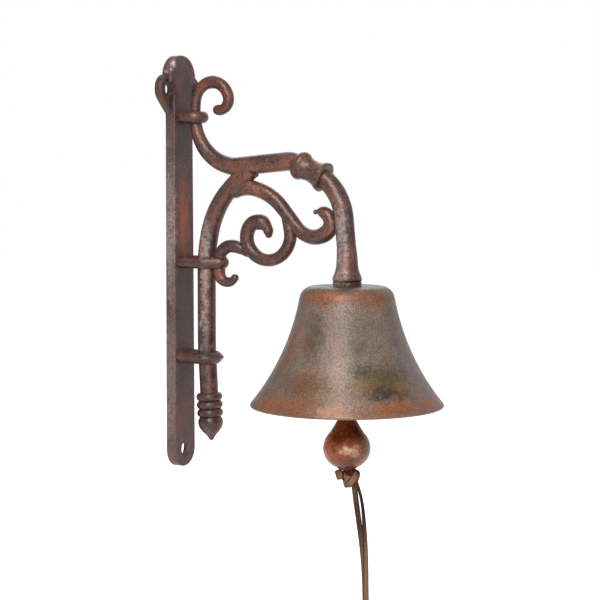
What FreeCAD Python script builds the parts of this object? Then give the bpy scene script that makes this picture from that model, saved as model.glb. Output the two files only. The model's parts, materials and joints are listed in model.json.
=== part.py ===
import FreeCAD, Part
import math
import os

# A wall mounted bell of cast iron: a wall plate with two ears, a scrollwork bracket held to it
# by three riveted collars, a flared bell bolted under the bracket's arm, and a clapper with a
# leather pull lace.  Millimetres.  The origin lies on the wall, midway between the two ear
# screws; +X points out of the wall, +Y to the left of someone facing away from it, +Z up.
# The bracket, the bell and the clapper are all centred on the plane y = 0.

# ---- wall plate ----
PLATE_WIDTH = 21.0            # just below the ears; the plate widens a little to its foot
PLATE_FOOT_WIDTH = 23.2
PLATE_DEPTH = 7.0
HEAD_RADIUS = 14.4            # the rounded top between the ears
HEAD_RISE = 7.6               # from the ear screws up to its centre
FOOT_SCREW_DROP = 233.5       # from the ear screws down to the foot screw
PLATE_EDGE_ROUND = 1.0
HEAD_EDGE_ROUND = 1.6
EAR_EDGE_ROUND = 1.7
EAR_SPACING = 27.0
EAR_RADIUS = 9.4
EAR_THICKNESS = 5.0
EAR_FLANK_DROP = 15.0         # where an ear's lower flank runs out into the plate
EAR_HOLE = 9.2
FOOT_HOLE = 7.2
FOOT_SINK = 9.6
FOOT_SINK_DEPTH = 1.1
POCKET_RIM = 2.4              # the iron left round the hollows in the plate's back
POCKET_WEB = 3.0              # and in front of them
RIVET_PAD = 9.0               # solid iron above and below each collar's rivets

# ---- bracket ----
NECK_X = 16.0                 # the rod inside the upper collar
NECK_Z = -18.0
NECK_DIAMETER = 7.2
ARM_DIAMETER = 12.0
SCROLL_TIP_DIAMETER = 6.6
STEM_X = 24.0
STEM_DIAMETER = 11.8
STEM_BEND_Z = -116.0          # the stem is upright below this and sweeps into the arm above it
STEM_TAIL_Z = -160.0          # below this the stem leans out a little
STEM_TAIL_LEAN = 3.0
STEM_TAIL_LENGTH = 35.5
FINIAL_BEAD = 16.9
FINIAL_WAIST = 13.6
FINIAL_BEAD_PITCH = 5.2
FINIAL_BEADS = 3
FINIAL_ACORN = 16.2
FINIAL_ACORN_LENGTH = 15.2
FINIAL_TIP = 2.4
ARM_RISE = 5.0                # the slope of the arm's long run, in degrees
DROP_SLOPE = -84.4            # and of the run down to the foot
KNUCKLE_RUN = 15.2            # the arm's straight run inside the knuckle
KNUCKLE_LENGTH = 22.6
KNUCKLE_SLOPE = -24.0
KNUCKLE_NEAR_RIM = 18.0
KNUCKLE_FAR_RIM = 19.0
KNUCKLE_WAIST = 14.0
FOOT_DIAMETER = 18.2
FOOT_FLARE_LENGTH = 9.0       # the upright part of its flare
FOOT_EDGE_HEIGHT = 1.2        # the foot's rounded lower edge
FOOT_FACE_DIAMETER = 16.4
FOOT_Z = -120.1               # the flat face under the arm, which the bell hangs from
SCROLL_BAR_START_X = 2.8      # from where the stem leaves the upright to the bar's hidden end
SCROLL_BAR_START_Z = -1.1
HOOK_TIP_SETBACK = 22.3       # from the bell's axis back to the tip of the scroll bar's hook
LINK_X = 33.6                 # the short bar that runs down through the middle collar
LINK_DIAMETER = 8.2
LINK_Z = -110.0

# ---- collars ----
UPPER_COLLAR_Z = -17.8
MIDDLE_COLLAR_Z = -110.9
LOWER_COLLAR_Z = -172.5
COLLAR_HEIGHT = 7.6
UPPER_COLLAR_THICKNESS = 5.5
MIDDLE_COLLAR_THICKNESS = 4.7
LOWER_COLLAR_THICKNESS = 5.0
LOWER_COLLAR_POINT = 3.4      # from the middle of the strap out to its pointed rim
COLLAR_SEAT = 0.7             # how deep the bar beds into the collar
COLLAR_END_WALL = 2.2         # what is left of the middle collar round the link bar
RIVET_DIAMETER = 3.2
RIVET_HEAD = 4.8
RIVET_HEAD_DEPTH = 1.2
RIVET_CLEARANCE = 0.05

# ---- bell ----
BELL_X = 127.0
BELL_HEIGHT = 74.6
BELL_CROWN_RADIUS = 28.2      # where the flank's arc would meet the crown's level
BELL_MOUTH_RADIUS = 61.3      # and the lip's; the rounded lip itself is 60 in radius
BELL_FLARE_RADIUS = 147.0
BELL_SHOULDER = 8.5
BELL_WALL = 3.5
BELL_CROWN_WALL = 4.0
LIP_ROUND = 1.2

# ---- what hangs the bell and the clapper ----
BOLT_DIAMETER = 5.0
BOLT_HOLE_CLEARANCE = 0.2
BOLT_GRIP = 14.0              # thread inside the arm's foot
FOOT_WASHER_DIAMETER = 17.8
FOOT_WASHER_THICKNESS = 2.6
WASHER_DIAMETER = 15.0
WASHER_THICKNESS = 1.6
NUT_WIDTH = 8.0
NUT_HEIGHT = 4.0
NUT_TO_EYE = 1.6
EYE_INNER = 7.0
EYE_WIRE = 3.0

# ---- clapper ----
LOOP_GAP = 0.3                # between the bolt's eye and the clapper's loop
LOOP_WIRE = 3.0
LOOP_WIDTH = 8.0
LOOP_LENGTH = 9.0
LOOP_CORNER = 3.0
ROD_DIAMETER = 4.5
BALL_DROP = 82.0              # from the pivot down to the ball's widest place
BALL_DIAMETER = 29.6
BALL_NECK_DIAMETER = 8.0
BALL_NECK_RISE = 22.5
BALL_TAIL = 12.6
HITCH_EYE_RADIUS = 3.0
HITCH_EYE_WIRE = 2.4
HITCH_SHIFT = 1.2             # the hitch sits a little to the side the lace hangs on
HITCH_DROP = 6.0
HITCH_CORE = 5.6              # the radius of the knot's heart and of the turns round it
HITCH_TURN = 5.8

# ---- pull lace: two strands of one doubled lace ----
LACE_DIAMETER = 2.6
STRAND_LEFT = [(131.6, 1.0, -245.0), (132.3, 1.5, -253.5), (134.9, 1.6, -269.5),
               (137.9, 1.5, -289.0), (139.3, 1.7, -313.0), (139.4, 1.5, -341.0),
               (140.0, 1.6, -366.0)]
STRAND_RIGHT = [(133.2, -1.1, -241.0), (137.9, -1.5, -250.5), (140.3, -1.6, -268.0),
                (141.3, -1.5, -290.0), (141.6, -1.7, -314.0), (142.4, -1.5, -341.0),
                (142.4, -1.6, -366.0)]
END_KNOT_RADIUS = 4.8

PLATE_HALF = PLATE_WIDTH / 2
CROWN_Z = FOOT_Z - FOOT_WASHER_THICKNESS
MOUTH_Z = CROWN_Z - BELL_HEIGHT
INNER_CROWN_Z = CROWN_Z - BELL_CROWN_WALL
NUT_TOP_Z = INNER_CROWN_Z - WASHER_THICKNESS
NUT_BOTTOM_Z = NUT_TOP_Z - NUT_HEIGHT
EYE_RADIUS = (EYE_INNER + EYE_WIRE) / 2
EYE_Z = NUT_BOTTOM_Z - NUT_TO_EYE - EYE_RADIUS - EYE_WIRE / 2
PIVOT_Z = EYE_Z - EYE_INNER / 2 + LOOP_GAP + LOOP_WIRE / 2
BALL_Z = PIVOT_Z - BALL_DROP
BALL_BOTTOM_Z = BALL_Z - BALL_TAIL

ALONG_X = FreeCAD.Vector(1, 0, 0)
ALONG_Y = FreeCAD.Vector(0, 1, 0)
ALONG_Z = FreeCAD.Vector(0, 0, 1)


def vec(x, y, z):
    return FreeCAD.Vector(x, y, z)


def save(name, shape):
    shape.exportStep("parts/" + name + ".step")


def cylinder(diameter, length, start, direction):
    return Part.makeCylinder(diameter / 2, length, start, direction)


def cone(diameter_1, diameter_2, length, start, direction):
    return Part.makeCone(diameter_1 / 2, diameter_2 / 2, length, start, direction)


def revolve(edges, start, axis):
    """A solid of revolution from a closed outline."""
    return Part.Face(Part.Wire(edges)).revolve(start, axis, 360)


def line(start, end):
    return Part.LineSegment(start, end).toShape()


def arc(start, middle, end):
    return Part.Arc(start, middle, end).toShape()


# ---- bars that follow a walk of straight runs and tangent arcs in the plane y = 0 ----

class Walk:
    """A bar's centre line.  Each step keeps the heading of the one before it, in degrees
    from +X towards +Z, and says how thick the bar is where the step ends.  Circles stand at
    nearly even spaces along it, because a loft through uneven ones swells between them."""

    LENGTH_STEP = 5.0
    TURN_STEP = 30.0

    def __init__(self, x, z, heading, diameter):
        self.x = x
        self.z = z
        self.heading = heading
        self.diameter = diameter
        self.stations = [(x, z, heading, diameter)]

    def advance(self, length, turn, diameter):
        parts = math.ceil(max(length / self.LENGTH_STEP, abs(turn) / self.TURN_STEP, 1))
        grow = (diameter - self.diameter) / parts
        half = math.radians(turn / parts / 2)
        chord = length / parts
        if turn:
            chord *= math.sin(half) / half
        for _ in range(parts):
            middle = math.radians(self.heading) + half
            self.x += chord * math.cos(middle)
            self.z += chord * math.sin(middle)
            self.heading += turn / parts
            self.diameter += grow
            self.stations.append((self.x, self.z, self.heading, self.diameter))
        return self

    def run(self, length, diameter):
        return self.advance(length, 0, diameter)

    def arc(self, radius, turn, diameter):
        """Turn left for a positive angle and right for a negative one."""
        return self.advance(radius * math.radians(abs(turn)), turn, diameter)

    def bar(self, round_end=False):
        """The solid bar: a loft through circles square to the walk, whose seams all lie on
        the same side, so that the loft doesn't twist."""
        rings = []
        for x, z, heading, diameter in self.stations:
            angle = math.radians(heading)
            ahead = vec(math.cos(angle), 0, math.sin(angle))
            circle = Part.Circle(vec(x, 0, z), ahead, diameter / 2)
            circle.XAxis = ALONG_Y
            rings.append(Part.Wire(circle.toShape()))
        solid = Part.makeLoft(rings, True)
        if round_end:
            solid = solid.fuse(Part.makeSphere(self.diameter / 2, vec(self.x, 0, self.z)))
        return solid


def arm_walk(reach, drop):
    """From the upper collar down, out over the bell, through the knuckle and down to the foot.
    reach and drop are its two straight runs.  The knuckle's place is kept on the walk."""
    walk = Walk(NECK_X, NECK_Z, -90, NECK_DIAMETER)
    walk.arc(31.3, 45, 9.8)
    walk.arc(31.3, 90 + ARM_RISE - 45, ARM_DIAMETER)
    walk.run(reach, ARM_DIAMETER)
    walk.arc(14, KNUCKLE_SLOPE - ARM_RISE, ARM_DIAMETER)
    walk.knuckle = (walk.x, walk.z, walk.heading)
    walk.run(KNUCKLE_RUN, ARM_DIAMETER)
    walk.arc(34, DROP_SLOPE - KNUCKLE_SLOPE, ARM_DIAMETER)
    walk.run(drop, ARM_DIAMETER)
    flare = FOOT_DIAMETER - ARM_DIAMETER
    walk.arc(120, -90 - DROP_SLOPE, ARM_DIAMETER + flare * 0.25)
    walk.run(FOOT_FLARE_LENGTH / 2, ARM_DIAMETER + flare * 0.56)
    walk.run(FOOT_FLARE_LENGTH / 2, FOOT_DIAMETER)
    walk.run(FOOT_EDGE_HEIGHT, FOOT_FACE_DIAMETER)
    return walk


def fitted_arm():
    """The arm whose foot lands on the bell's axis, at the foot's level."""
    trial = arm_walk(0, 0)
    gap_x = BELL_X - trial.x
    gap_z = FOOT_Z - trial.z
    out = math.radians(ARM_RISE)
    down = math.radians(DROP_SLOPE)
    spread = math.sin(down - out)
    reach = (gap_x * math.sin(down) - gap_z * math.cos(down)) / spread
    drop = (gap_z * math.cos(out) - gap_x * math.sin(out)) / spread
    return arm_walk(reach, drop)


def knuckle(place):
    """The turned ferrule on the arm's sloping run: a round rim, a hollow waist, a sharp rim."""
    x, z, heading = place
    slope = math.radians(heading)
    ahead = vec(math.cos(slope), 0, math.sin(slope))
    across = vec(math.sin(slope), 0, -math.cos(slope))
    base = vec(x, 0, z)

    def at(share, diameter):
        return base + ahead * (KNUCKLE_LENGTH * share) + across * (diameter / 2)

    axis_start = at(0, 0)
    axis_end = at(1, 0)
    near_foot = at(0, ARM_DIAMETER + 0.6)
    near_crest = at(0.14, KNUCKLE_NEAR_RIM)
    near_fall = at(0.30, KNUCKLE_WAIST + 2.2)
    waist = at(0.53, KNUCKLE_WAIST)
    far_rise = at(0.77, KNUCKLE_WAIST + 2.2)
    far_crest = at(0.90, KNUCKLE_FAR_RIM)
    far_edge = at(0.97, KNUCKLE_FAR_RIM)
    far_foot = at(1, KNUCKLE_FAR_RIM - 2)
    edges = [line(axis_start, near_foot), arc(near_foot, near_crest, near_fall),
             arc(near_fall, waist, far_rise), line(far_rise, far_crest),
             line(far_crest, far_edge), line(far_edge, far_foot),
             line(far_foot, axis_end), line(axis_end, axis_start)]
    return revolve(edges, base, ahead)


def finial(x, z, heading):
    """Beads and an acorn turned on the stem's lower end, along the stem's own heading."""
    slope = math.radians(heading)
    ahead = vec(math.cos(slope), 0, math.sin(slope))
    across = vec(math.sin(slope), 0, -math.cos(slope))
    base = vec(x, 0, z)

    def at(length, diameter):
        return base + ahead * length + across * (diameter / 2)

    edges = [line(at(0, 0), at(0, FINIAL_WAIST))]
    for bead in range(FINIAL_BEADS):
        start = bead * FINIAL_BEAD_PITCH
        edges.append(arc(at(start, FINIAL_WAIST), at(start + FINIAL_BEAD_PITCH / 2, FINIAL_BEAD),
                         at(start + FINIAL_BEAD_PITCH, FINIAL_WAIST)))
    start = FINIAL_BEADS * FINIAL_BEAD_PITCH
    acorn = Part.BSplineCurve()
    acorn.interpolate([at(start, FINIAL_WAIST),
                       at(start + FINIAL_ACORN_LENGTH * 0.27, FINIAL_ACORN),
                       at(start + FINIAL_ACORN_LENGTH * 0.55, FINIAL_ACORN * 0.80),
                       at(start + FINIAL_ACORN_LENGTH * 0.78, FINIAL_ACORN * 0.42),
                       at(start + FINIAL_ACORN_LENGTH, FINIAL_TIP)])
    edges.append(acorn.toShape())
    edges.append(line(at(start + FINIAL_ACORN_LENGTH, FINIAL_TIP),
                      at(start + FINIAL_ACORN_LENGTH, 0)))
    edges.append(line(at(start + FINIAL_ACORN_LENGTH, 0), at(0, 0)))
    return revolve(edges, base, ahead)


def scroll_bracket():
    """One casting: the arm with its top scroll and knuckle, the stem with its finial, the
    S-shaped scroll bar, the spiral inside it, and the link bar with its little hook."""
    arm = fitted_arm()
    scroll = Walk(NECK_X, NECK_Z, 90, NECK_DIAMETER)
    scroll.run(4.5, NECK_DIAMETER - 0.6).arc(37, -13, NECK_DIAMETER - 0.8)
    scroll.arc(12.3, -75, NECK_DIAMETER + 1.2).arc(12.3, -80, NECK_DIAMETER)
    scroll.arc(6.7, -113, SCROLL_TIP_DIAMETER)

    stem = Walk(STEM_X, STEM_BEND_Z, 90, STEM_DIAMETER)
    stem.arc(110, -13, STEM_DIAMETER).arc(57.4, -32, STEM_DIAMETER - 0.6)
    fork_x = stem.x
    fork_z = stem.z
    stem.arc(57.4, -15, STEM_DIAMETER).run(6, STEM_DIAMETER - 1.2)
    tail = Walk(STEM_X, STEM_BEND_Z, -90, STEM_DIAMETER)
    tail.run(STEM_BEND_Z - STEM_TAIL_Z, STEM_DIAMETER)
    lean_radius = 10 / math.radians(STEM_TAIL_LEAN)
    tail.arc(lean_radius, STEM_TAIL_LEAN, STEM_DIAMETER)
    tail.run(STEM_TAIL_LENGTH - 10, STEM_DIAMETER)

    scroll_bar = fitted_scroll_bar(fork_x + SCROLL_BAR_START_X, fork_z + SCROLL_BAR_START_Z)
    spiral_x, spiral_z = scroll_bar.fork

    spiral = Walk(spiral_x - 0.7, spiral_z + 0.55, -56.8, 4.8)
    spiral.arc(47.5, -17.2, 8.2).arc(16.3, -85, 7.9).arc(16.3, -82, 8.7)
    spiral.arc(11.8, -61, 9.3).arc(7.8, -75, 10.2).arc(7.8, -72, 4.8)

    link = Walk(LINK_X, LINK_Z, 90, LINK_DIAMETER)
    link.arc(10, -105, LINK_DIAMETER + 0.2).arc(44, -14, 5.6)
    hook = Walk(LINK_X, LINK_Z, -90, LINK_DIAMETER)
    hook.run(6.7, LINK_DIAMETER - 0.2).arc(6.5, 90, 6.6).arc(6.5, 55, 5.2)

    casting = arm.bar()
    for member in (scroll.bar(round_end=True), stem.bar(), tail.bar(),
                   scroll_bar.bar(round_end=True), spiral.bar(round_end=True), link.bar(),
                   hook.bar(round_end=True), knuckle(arm.knuckle),
                   finial(tail.x, tail.z, tail.heading)):
        casting = casting.fuse(member)
    thread = cylinder(BOLT_DIAMETER, BOLT_GRIP, vec(BELL_X, 0, FOOT_Z), ALONG_Z)
    return casting.cut(thread)


def scroll_bar_walk(x, z, run):
    """The S-shaped bar, from the stem over the spiral to the hook against the drop arm.
    The fork, where the spiral leaves it, is kept on the walk."""
    walk = Walk(x, z, 22.1, 10.6)
    walk.arc(26.6, -35.6, 9.9).arc(38.1, -34.9, 9.0)
    walk.fork = (walk.x, walk.z)
    walk.fork_heading = walk.heading
    walk.run(run, 8.3)
    walk.arc(17, 39.3, 9.5).arc(14.2, 48.2, 10.3)
    walk.arc(7, 120, 8.2).arc(10.7, 34, 3.2)
    return walk


def fitted_scroll_bar(x, z):
    """The S-shaped bar whose hook ends at its setback from the bell's axis."""
    trial = scroll_bar_walk(x, z, 0)
    spare = BELL_X - HOOK_TIP_SETBACK - trial.x
    return scroll_bar_walk(x, z, spare / math.cos(math.radians(trial.fork_heading)))


# ---- wall plate ----

def tangent_outline(centre_1, radius_1, centre_2, radius_2, place):
    """The outline of two circles and the two lines that touch both, through place(a, b)."""
    gap = math.hypot(centre_2[0] - centre_1[0], centre_2[1] - centre_1[1])
    along = math.atan2(centre_2[1] - centre_1[1], centre_2[0] - centre_1[0])
    touch = math.acos((radius_1 - radius_2) / gap)

    def on(centre, radius, angle):
        return place(centre[0] + radius * math.cos(angle), centre[1] + radius * math.sin(angle))

    left_1 = on(centre_1, radius_1, along + touch)
    left_2 = on(centre_2, radius_2, along + touch)
    right_1 = on(centre_1, radius_1, along - touch)
    right_2 = on(centre_2, radius_2, along - touch)
    return [arc(left_1, on(centre_1, radius_1, along + math.pi), right_1),
            line(right_1, right_2),
            arc(right_2, on(centre_2, radius_2, along), left_2),
            line(left_2, left_1)]


def on_wall(y, z):
    return vec(0, y, z)


def round_front_edges(solid, depth, radius):
    """Round the edges that lie wholly in the face x = depth."""
    edges = [edge for edge in solid.Edges
             if abs(edge.BoundBox.XMin - depth) < 1e-6 and abs(edge.BoundBox.XMax - depth) < 1e-6]
    return solid.makeFillet(radius, edges)


def back_pocket(top_z, bottom_z, round_bottom=False):
    """A hollow in the plate's back between two solid pads."""
    half = PLATE_HALF - POCKET_RIM
    depth = PLATE_DEPTH - POCKET_WEB
    hollow = Part.makeBox(depth, 2 * half, top_z - bottom_z, vec(0, -half, bottom_z))
    if round_bottom:
        hollow = hollow.fuse(cylinder(2 * half, depth, vec(0, 0, bottom_z), ALONG_X))
    return hollow


def wall_plate():
    bar_outline = tangent_outline((0, 0), PLATE_HALF, (0, -FOOT_SCREW_DROP),
                                  PLATE_FOOT_WIDTH / 2, on_wall)
    bar = Part.Face(Part.Wire(bar_outline)).extrude(vec(PLATE_DEPTH, 0, 0))
    plate = round_front_edges(bar, PLATE_DEPTH, PLATE_EDGE_ROUND)
    head = cylinder(2 * HEAD_RADIUS, PLATE_DEPTH, vec(0, 0, HEAD_RISE), ALONG_X)
    plate = plate.fuse(round_front_edges(head, PLATE_DEPTH, HEAD_EDGE_ROUND))
    for side in (-1, 1):
        flank = (side * (PLATE_HALF - 2), -EAR_FLANK_DROP)
        outline = tangent_outline((side * EAR_SPACING / 2, 0), EAR_RADIUS, flank, 2, on_wall)
        ear = Part.Face(Part.Wire(outline)).extrude(vec(EAR_THICKNESS, 0, 0))
        plate = plate.fuse(round_front_edges(ear, EAR_THICKNESS, EAR_EDGE_ROUND))
    for side in (-1, 1):
        hole = cylinder(EAR_HOLE, PLATE_DEPTH, vec(0, side * EAR_SPACING / 2, 0), ALONG_X)
        plate = plate.cut(hole)
    plate = plate.cut(back_pocket(UPPER_COLLAR_Z - RIVET_PAD, MIDDLE_COLLAR_Z + RIVET_PAD))
    plate = plate.cut(back_pocket(MIDDLE_COLLAR_Z - RIVET_PAD, LOWER_COLLAR_Z + RIVET_PAD))
    plate = plate.cut(back_pocket(LOWER_COLLAR_Z - RIVET_PAD, -FOOT_SCREW_DROP, True))
    foot = vec(0, 0, -FOOT_SCREW_DROP)
    plate = plate.cut(cylinder(FOOT_HOLE, PLATE_DEPTH, foot, ALONG_X))
    sink_start = foot + ALONG_X * (PLATE_DEPTH - FOOT_SINK_DEPTH)
    plate = plate.cut(cone(FOOT_HOLE, FOOT_SINK, FOOT_SINK_DEPTH, sink_start, ALONG_X))
    for z, half in collar_rivets():
        for side in (-1, 1):
            plate = plate.cut(rivet(side * half, z, RIVET_CLEARANCE))
    return plate


# ---- collars ----

def collar_half(bar_diameter, thickness):
    """From the plane y = 0 to the middle of a collar's leg."""
    return bar_diameter / 2 + thickness / 2 - COLLAR_SEAT


def collar_rivets():
    """Each collar's level and how far its rivets stand from the middle."""
    return [(UPPER_COLLAR_Z, collar_half(NECK_DIAMETER, UPPER_COLLAR_THICKNESS)),
            (MIDDLE_COLLAR_Z, collar_half(STEM_DIAMETER, MIDDLE_COLLAR_THICKNESS)),
            (LOWER_COLLAR_Z, collar_half(STEM_DIAMETER, LOWER_COLLAR_THICKNESS))]


def rivet(y, z, clearance):
    """The tenon on a collar's leg, with its head spread flush in the plate's back."""
    shank = cylinder(RIVET_DIAMETER + 2 * clearance, PLATE_DEPTH, vec(0, y, z), ALONG_X)
    head = cone(RIVET_HEAD + 2 * clearance, RIVET_DIAMETER + 2 * clearance, RIVET_HEAD_DEPTH,
                vec(0, y, z), ALONG_X)
    return shank.fuse(head)


def strap_section(half, thickness, point, z):
    """The strap's section at the plate: rounded, or drawn out to a point on its outer side."""
    rise = COLLAR_HEIGHT / 2
    top = vec(PLATE_DEPTH, -half, z + rise)
    bottom = vec(PLATE_DEPTH, -half, z - rise)
    inner = vec(PLATE_DEPTH, -half + thickness / 2, z)
    edges = [arc(bottom, inner, top)]
    if point:
        rim = vec(PLATE_DEPTH, -half - point, z)
        above = vec(PLATE_DEPTH, -half - point * 0.6, z + rise * 0.48)
        below = vec(PLATE_DEPTH, -half - point * 0.6, z - rise * 0.48)
        edges += [arc(top, above, rim), arc(rim, below, bottom)]
    else:
        edges.append(arc(top, vec(PLATE_DEPTH, -half - thickness / 2, z), bottom))
    return Part.Wire(edges)


def collar(z, bar_x, half, thickness, point=0, link_half=0):
    """A strap from the plate, round the bars and back, riveted at both ends.  With link_half
    it goes round the stem and the link bar together."""
    def turn(x, radius, degrees):
        angle = math.radians(degrees)
        return vec(x + radius * math.cos(angle), radius * math.sin(angle), z)

    near_start = vec(PLATE_DEPTH, -half, z)
    near_end = vec(bar_x, -half, z)
    far_end = vec(PLATE_DEPTH, half, z)
    far_start = vec(bar_x, half, z)
    if link_half:
        touch = math.degrees(math.acos((half - link_half) / (LINK_X - bar_x)))
        path = [line(near_start, near_end),
                arc(near_end, turn(bar_x, half, -(90 + touch) / 2), turn(bar_x, half, -touch)),
                line(turn(bar_x, half, -touch), turn(LINK_X, link_half, -touch)),
                arc(turn(LINK_X, link_half, -touch), turn(LINK_X, link_half, 0),
                    turn(LINK_X, link_half, touch)),
                line(turn(LINK_X, link_half, touch), turn(bar_x, half, touch)),
                arc(turn(bar_x, half, touch), turn(bar_x, half, (90 + touch) / 2), far_start),
                line(far_start, far_end)]
    else:
        path = [line(near_start, near_end), arc(near_end, turn(bar_x, half, 0), far_start),
                line(far_start, far_end)]
    section = strap_section(half, thickness, point, z)
    strap = Part.Wire(path).makePipeShell([section], True, False)
    for side in (-1, 1):
        strap = strap.fuse(rivet(side * half, z, 0))
    return strap


# ---- bell ----

def flank_centre():
    """Where the flank's arc is struck from, so that it joins the crown's edge to the mouth's:
    its distance from the bell's axis and its level."""
    run = BELL_MOUTH_RADIUS - BELL_CROWN_RADIUS
    chord = math.hypot(run, BELL_HEIGHT)
    back = math.sqrt(BELL_FLARE_RADIUS ** 2 - chord ** 2 / 4)
    middle_r = (BELL_MOUTH_RADIUS + BELL_CROWN_RADIUS) / 2
    middle_z = (CROWN_Z + MOUTH_Z) / 2
    return vec(BELL_X + middle_r + back * BELL_HEIGHT / chord, 0, middle_z + back * run / chord)


def flank_point(radius, z):
    """The point at level z of a circle about the flank's centre."""
    centre = flank_centre()
    return vec(centre.x - math.sqrt(radius ** 2 - (z - centre.z) ** 2), 0, z)


def rounded_corner(radius, reach, level, rise, beyond):
    """The arc that rounds a corner between a level face and the flank, from the face to the
    flank.  Its centre lies at reach from the flank's centre, and rise (-1 or 1) says on which
    side of the level.  beyond is 1 where the flank is on the near side of it, -1 on the far."""
    centre = flank_point(reach, level + rise * radius)
    to_flank = (flank_centre() - centre).normalize() * (beyond * radius)
    to_face = vec(0, 0, -rise * radius)
    middle = centre + (to_flank + to_face).normalize() * radius
    return centre + to_face, middle, centre + to_flank


def bell():
    outer = BELL_FLARE_RADIUS
    inner = BELL_FLARE_RADIUS + BELL_WALL
    inner_shoulder = BELL_SHOULDER - BELL_WALL
    shoulder = rounded_corner(BELL_SHOULDER, outer + BELL_SHOULDER, CROWN_Z, -1, 1)
    hollow = rounded_corner(inner_shoulder, inner + inner_shoulder, INNER_CROWN_Z, -1, 1)
    lip = rounded_corner(LIP_ROUND, outer + LIP_ROUND, MOUTH_Z, 1, 1)
    inner_lip = rounded_corner(LIP_ROUND, inner - LIP_ROUND, MOUTH_Z, 1, -1)
    middle_z = (CROWN_Z + MOUTH_Z) / 2
    hole = BOLT_DIAMETER / 2 + BOLT_HOLE_CLEARANCE
    hole_top = vec(BELL_X + hole, 0, CROWN_Z)
    hole_bottom = vec(BELL_X + hole, 0, INNER_CROWN_Z)
    edges = [line(hole_top, shoulder[0]), arc(*shoulder),
             arc(shoulder[2], flank_point(outer, middle_z), lip[2]), arc(*reversed(lip)),
             line(lip[0], inner_lip[0]), arc(*inner_lip),
             arc(inner_lip[2], flank_point(inner, middle_z), hollow[2]), arc(*reversed(hollow)),
             line(hollow[0], hole_bottom), line(hole_bottom, hole_top)]
    return revolve(edges, vec(BELL_X, 0, 0), ALONG_Z)


# ---- what hangs the bell ----

def washer(diameter, thickness, top_z):
    """A washer on the bell's bolt."""
    disc = cylinder(diameter, thickness, vec(BELL_X, 0, top_z - thickness), ALONG_Z)
    hole = BOLT_DIAMETER + 2 * BOLT_HOLE_CLEARANCE
    return disc.cut(cylinder(hole, thickness, vec(BELL_X, 0, top_z - thickness), ALONG_Z))


def clamp_nut():
    """A hexagon nut with both rims turned off at its corners."""
    corner = NUT_WIDTH / math.sqrt(3)
    points = []
    for side in range(7):
        angle = math.radians(60 * side)
        points.append(vec(BELL_X + corner * math.cos(angle), corner * math.sin(angle),
                          NUT_BOTTOM_Z))
    block = Part.Face(Part.makePolygon(points)).extrude(ALONG_Z * NUT_HEIGHT)
    half = NUT_HEIGHT / 2
    middle = vec(BELL_X, 0, NUT_BOTTOM_Z + half)
    rim = NUT_WIDTH * 0.95
    reach = rim + 2 * half * math.sqrt(3)
    turned = cone(rim, reach, half, middle - ALONG_Z * half, ALONG_Z)
    turned = turned.fuse(cone(reach, rim, half, middle, ALONG_Z))
    thread = cylinder(BOLT_DIAMETER, NUT_HEIGHT, vec(BELL_X, 0, NUT_BOTTOM_Z), ALONG_Z)
    return block.common(turned).cut(thread)


def eye_bolt():
    bottom = EYE_Z + EYE_RADIUS
    shank = cylinder(BOLT_DIAMETER, FOOT_Z + BOLT_GRIP - bottom, vec(BELL_X, 0, bottom), ALONG_Z)
    eye = Part.makeTorus(EYE_RADIUS, EYE_WIRE / 2, vec(BELL_X, 0, EYE_Z), ALONG_Y)
    return shank.fuse(eye)


# ---- clapper ----

def clapper_loop():
    """The rod's upper end, bent into a loop that hangs in the bolt's eye.  Its straight top
    lies on the hinge line."""
    half = LOOP_WIDTH / 2
    low_z = PIVOT_Z - LOOP_LENGTH

    def at(y, z):
        return vec(BELL_X, y, z)

    def corner(side, z, inward):
        """The start, middle and end of one rounded corner, from its upright side."""
        centre_y = side * (half - LOOP_CORNER)
        centre_z = z + inward * LOOP_CORNER
        reach = LOOP_CORNER * math.sqrt(0.5)
        return (at(side * half, centre_z), at(centre_y + side * reach, centre_z - inward * reach),
                at(centre_y, z))

    top_left = corner(1, PIVOT_Z, -1)
    top_right = corner(-1, PIVOT_Z, -1)
    low_left = corner(1, low_z, 1)
    low_right = corner(-1, low_z, 1)
    path = Part.Wire([line(low_left[0], top_left[0]), arc(*top_left),
                      line(top_left[2], top_right[2]), arc(*reversed(top_right)),
                      line(top_right[0], low_right[0]), arc(*low_right),
                      line(low_right[2], low_left[2]), arc(*reversed(low_left))])
    section = Part.Wire(Part.Circle(low_left[0], ALONG_Z, LOOP_WIRE / 2).toShape())
    return path.makePipeShell([section], True, False)


def clapper_rod():
    low_z = PIVOT_Z - LOOP_LENGTH
    eye_z = BALL_BOTTOM_Z - HITCH_EYE_RADIUS - HITCH_EYE_WIRE / 2
    bottom = eye_z + HITCH_EYE_RADIUS
    rod = cylinder(ROD_DIAMETER, low_z - bottom, vec(BELL_X, 0, bottom), ALONG_Z)
    hitch_eye = Part.makeTorus(HITCH_EYE_RADIUS, HITCH_EYE_WIRE / 2, vec(BELL_X, 0, eye_z),
                               ALONG_Y)
    return rod.multiFuse([clapper_loop(), hitch_eye])


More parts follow.
